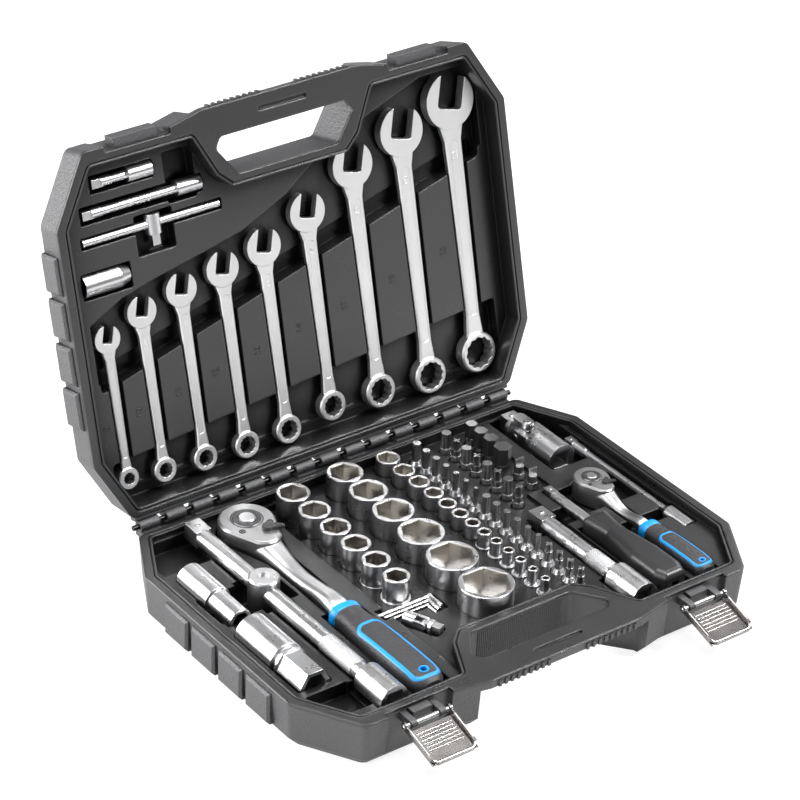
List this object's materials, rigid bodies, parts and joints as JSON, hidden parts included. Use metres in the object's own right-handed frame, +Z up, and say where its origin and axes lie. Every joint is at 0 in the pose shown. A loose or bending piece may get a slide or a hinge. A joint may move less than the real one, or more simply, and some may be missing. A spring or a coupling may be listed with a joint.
{
  "type": "socket wrench set in case",
  "caption": "Open two-part plastic tool case with hinged lid and swing latches, holding ratchets, sockets, bits, bars, joints and combination wrenches in shaped trays.",
  "frame": {"origin": "middle of the flat underside of the base", "axes": "+Z up, +Y from the handle towards the hinge, +X along the hinge to the right seen from the handle"},
  "size_m": [0.3952, 0.4219, 0.3195],
  "materials": {
    "case_plastic": "fine leather grain, satin black",
    "tray_plastic": "smooth satin black",
    "latch_nickel": "bright stamped plate",
    "pin_steel": "drawn rod",
    "chrome": "polished",
    "satin_chrome": "satin with polished rings",
    "bit_steel": "dark gunmetal",
    "dark_metal": "black coated",
    "grip_rubber": "matte black",
    "grip_blue": "satin blue",
    "spinner_plastic": "satin black"
  },
  "bodies": {
    "base": {"base_shell": "case_plastic", "base_tray": "tray_plastic", "hinge_and_latch_pins": "pin_steel", "quarter_sockets": "chrome", "bit_sockets": "chrome", "loose_bits": "bit_steel", "spark_plug_sockets": "chrome", "hexagon_keys": "dark_metal"},
    "lid": {"lid_shell": "case_plastic", "lid_tray": "tray_plastic", "lid_extensions": "chrome"},
    "latch_left": {"latch_left": "latch_nickel"},
    "latch_right": {"latch_right": "latch_nickel"},
    "ratchet_large": {"ratchet_large_body": "chrome", "ratchet_large_grip": "grip_rubber", "ratchet_large_inlay": "grip_blue"},
    "ratchet_large_drive": {"ratchet_large_drive": "chrome"},
    "ratchet_large_lever": {"ratchet_large_lever": "dark_metal"},
    "ratchet_large_button": {"ratchet_large_button": "chrome"},
    "ratchet_small": {"ratchet_small_body": "chrome", "ratchet_small_grip": "grip_rubber", "ratchet_small_inlay": "grip_blue"},
    "ratchet_small_drive": {"ratchet_small_drive": "chrome"},
    "ratchet_small_lever": {"ratchet_small_lever": "dark_metal"},
    "ratchet_small_button": {"ratchet_small_button": "chrome"},
    "socket_19": {"socket_19": "chrome"},
    "socket_18": {"socket_18": "chrome"},
    "socket_17": {"socket_17": "chrome"},
    "socket_16": {"socket_16": "chrome"},
    "socket_15": {"socket_15": "chrome"},
    "socket_14": {"socket_14": "chrome"},
    "socket_21": {"socket_21": "chrome"},
    "socket_22": {"socket_22": "chrome"},
    "socket_24": {"socket_24": "chrome"},
    "socket_27": {"socket_27": "chrome"},
    "socket_30": {"socket_30": "chrome"},
    "socket_32": {"socket_32": "chrome"},
    "extension_long": {"extension_long": "chrome"},
    "three_way_adapter": {"three_way_adapter": "chrome"},
    "extension_short": {"extension_short": "chrome"},
    "slim_extension": {"slim_extension": "chrome"},
    "spinner": {"spinner_shank": "chrome", "spinner_grip": "spinner_plastic"},
    "universal_joint_socket": {"universal_joint_socket": "chrome"},
    "universal_joint_cross": {"universal_joint_cross": "pin_steel"},
    "universal_joint_drive": {"universal_joint_drive": "chrome"},
    "small_joint_socket": {"small_joint_socket": "chrome"},
    "small_joint_drive": {"small_joint_drive": "chrome"},
    "wrench_22": {"wrench_22": "satin_chrome"},
    "wrench_19": {"wrench_19": "satin_chrome"},
    "wrench_17": {"wrench_17": "satin_chrome"},
    "wrench_14": {"wrench_14": "satin_chrome"},
    "wrench_13": {"wrench_13": "satin_chrome"},
    "wrench_12": {"wrench_12": "satin_chrome"},
    "wrench_11": {"wrench_11": "satin_chrome"},
    "wrench_10": {"wrench_10": "satin_chrome"},
    "wrench_08": {"wrench_08": "satin_chrome"},
    "tee_bar": {"tee_bar": "chrome"},
    "tee_slider": {"tee_slider": "chrome"},
    "lid_spark_socket": {"lid_spark_socket": "chrome"}
  },
  "joints": [
    {"name": "lid_hinge", "type": "hinge", "parent": "base", "child": "lid", "pos_m": [0, 0.1437, 0.042], "axis": [-1, 0, 0], "range_deg": [-104.4, 0]},
    {"name": "latch_left_hinge", "type": "hinge", "parent": "base", "child": "latch_left", "pos_m": [-0.1215, -0.143, 0.033], "axis": [1, 0, 0], "range_deg": [-107, 0]},
    {"name": "latch_right_hinge", "type": "hinge", "parent": "base", "child": "latch_right", "pos_m": [0.1215, -0.143, 0.033], "axis": [1, 0, 0], "range_deg": [-107, 0]},
    {"name": "ratchet_large_lift", "type": "slide", "parent": "base", "child": "ratchet_large", "axis": [0, 0, 1], "range_m": [0, 0.045]},
    {"name": "ratchet_large_spin", "type": "hinge", "parent": "ratchet_large", "child": "ratchet_large_drive", "pos_m": [-0.1, 0.1035, 0.04], "axis": [0, 0, 1], "continuous": true},
    {"name": "ratchet_large_reverse", "type": "hinge", "parent": "ratchet_large", "child": "ratchet_large_lever", "pos_m": [-0.09412, 0.08544, 0.047], "axis": [0, 0, -1], "range_deg": [0, 50]},
    {"name": "ratchet_large_release", "type": "slide", "parent": "ratchet_large_drive", "child": "ratchet_large_button", "axis": [0, 0, -1], "range_m": [0, 0.0025], "stiffness_N_per_m": 300, "springref_m": -0.003},
    {"name": "ratchet_small_lift", "type": "slide", "parent": "base", "child": "ratchet_small", "axis": [0, 0, 1], "range_m": [0, 0.035]},
    {"name": "ratchet_small_spin", "type": "hinge", "parent": "ratchet_small", "child": "ratchet_small_drive", "pos_m": [0.1465, 0.0135, 0.04], "axis": [0, 0, 1], "continuous": true},
    {"name": "ratchet_small_reverse", "type": "hinge", "parent": "ratchet_small", "child": "ratchet_small_lever", "pos_m": [0.15028, 0.00189, 0.044], "axis": [0, 0, -1], "range_deg": [0, 50]},
    {"name": "ratchet_small_release", "type": "slide", "parent": "ratchet_small_drive", "child": "ratchet_small_button", "axis": [0, 0, -1], "range_m": [0, 0.0016], "stiffness_N_per_m": 300, "springref_m": -0.003},
    {"name": "socket_19_lift", "type": "slide", "parent": "base", "child": "socket_19", "axis": [0, 0, 1], "range_m": [0, 0.034]},
    {"name": "socket_18_lift", "type": "slide", "parent": "base", "child": "socket_18", "axis": [0, 0, 1], "range_m": [0, 0.034]},
    {"name": "socket_17_lift", "type": "slide", "parent": "base", "child": "socket_17", "axis": [0, 0, 1], "range_m": [0, 0.034]},
    {"name": "socket_16_lift", "type": "slide", "parent": "base", "child": "socket_16", "axis": [0, 0, 1], "range_m": [0, 0.034]},
    {"name": "socket_15_lift", "type": "slide", "parent": "base", "child": "socket_15", "axis": [0, 0, 1], "range_m": [0, 0.034]},
    {"name": "socket_14_lift", "type": "slide", "parent": "base", "child": "socket_14", "axis": [0, 0, 1], "range_m": [0, 0.034]},
    {"name": "socket_21_lift", "type": "slide", "parent": "base", "child": "socket_21", "axis": [0, 0, 1], "range_m": [0, 0.034]},
    {"name": "socket_22_lift", "type": "slide", "parent": "base", "child": "socket_22", "axis": [0, 0, 1], "range_m": [0, 0.034]},
    {"name": "socket_24_lift", "type": "slide", "parent": "base", "child": "socket_24", "axis": [0, 0, 1], "range_m": [0, 0.034]},
    {"name": "socket_27_lift", "type": "slide", "parent": "base", "child": "socket_27", "axis": [0, 0, 1], "range_m": [0, 0.034]},
    {"name": "socket_30_lift", "type": "slide", "parent": "base", "child": "socket_30", "axis": [0, 0, 1], "range_m": [0, 0.034]},
    {"name": "socket_32_lift", "type": "slide", "parent": "base", "child": "socket_32", "axis": [0, 0, 1], "range_m": [0, 0.034]},
    {"name": "extension_long_lift", "type": "slide", "parent": "base", "child": "extension_long", "axis": [0, 0, 1], "range_m": [0, 0.032]},
    {"name": "three_way_adapter_slide", "type": "slide", "parent": "extension_long", "child": "three_way_adapter", "axis": [0, 1, 0], "range_m": [-0.01, 0.01]},
    {"name": "extension_short_lift", "type": "slide", "parent": "base", "child": "extension_short", "axis": [0, 0, 1], "range_m": [0, 0.025]},
    {"name": "slim_extension_lift", "type": "slide", "parent": "base", "child": "slim_extension", "axis": [0, 0, 1], "range_m": [0, 0.022]},
    {"name": "spinner_lift", "type": "slide", "parent": "base", "child": "spinner", "axis": [0, 0, 1], "range_m": [0, 0.03]},
    {"name": "universal_joint_socket_lift", "type": "slide", "parent": "base", "child": "universal_joint_socket", "axis": [0, 0, 1], "range_m": [0, 0.025]},
    {"name": "universal_joint_raise", "type": "hinge", "parent": "universal_joint_socket", "child": "universal_joint_cross", "pos_m": [0.154, 0.1, 0.033], "axis": [1, 0, 0], "range_deg": [0, 35]},
    {"name": "universal_joint_swing", "type": "hinge", "parent": "universal_joint_cross", "child": "universal_joint_drive", "pos_m": [0.154, 0.1, 0.033], "axis": [0, 0, 1], "range_deg": [-10, 10]},
    {"name": "small_joint_socket_lift", "type": "slide", "parent": "base", "child": "small_joint_socket", "axis": [0, 0, 1], "range_m": [0, 0.02]},
    {"name": "small_joint_raise", "type": "hinge", "parent": "small_joint_socket", "child": "small_joint_drive", "pos_m": [-0.05987, -0.05678, 0.0335], "axis": [-0.9135, -0.4067, 0], "range_deg": [0, 35]},
    {"name": "wrench_22_lift", "type": "slide", "parent": "lid", "child": "wrench_22", "axis": [0, -0.9686, 0.2487], "range_m": [0, 0.026]},
    {"name": "wrench_19_lift", "type": "slide", "parent": "lid", "child": "wrench_19", "axis": [0, -0.9686, 0.2487], "range_m": [0, 0.026]},
    {"name": "wrench_17_lift", "type": "slide", "parent": "lid", "child": "wrench_17", "axis": [0, -0.9686, 0.2487], "range_m": [0, 0.026]},
    {"name": "wrench_14_lift", "type": "slide", "parent": "lid", "child": "wrench_14", "axis": [0, -0.9686, 0.2487], "range_m": [0, 0.026]},
    {"name": "wrench_13_lift", "type": "slide", "parent": "lid", "child": "wrench_13", "axis": [0, -0.9686, 0.2487], "range_m": [0, 0.026]},
    {"name": "wrench_12_lift", "type": "slide", "parent": "lid", "child": "wrench_12", "axis": [0, -0.9686, 0.2487], "range_m": [0, 0.026]},
    {"name": "wrench_11_lift", "type": "slide", "parent": "lid", "child": "wrench_11", "axis": [0, -0.9686, 0.2487], "range_m": [0, 0.026]},
    {"name": "wrench_10_lift", "type": "slide", "parent": "lid", "child": "wrench_10", "axis": [0, -0.9686, 0.2487], "range_m": [0, 0.026]},
    {"name": "wrench_08_lift", "type": "slide", "parent": "lid", "child": "wrench_08", "axis": [0, -0.9686, 0.2487], "range_m": [0, 0.026]},
    {"name": "tee_bar_lift", "type": "slide", "parent": "lid", "child": "tee_bar", "axis": [0, -0.9686, 0.2487], "range_m": [0, 0.02]},
    {"name": "tee_slider_slide", "type": "slide", "parent": "tee_bar", "child": "tee_slider", "axis": [1, 0, 0], "range_m": [-0.009, 0.009]},
    {"name": "lid_spark_socket_lift", "type": "slide", "parent": "lid", "child": "lid_spark_socket", "axis": [0, -0.9686, 0.2487], "range_m": [0, 0.024]}
  ]
}
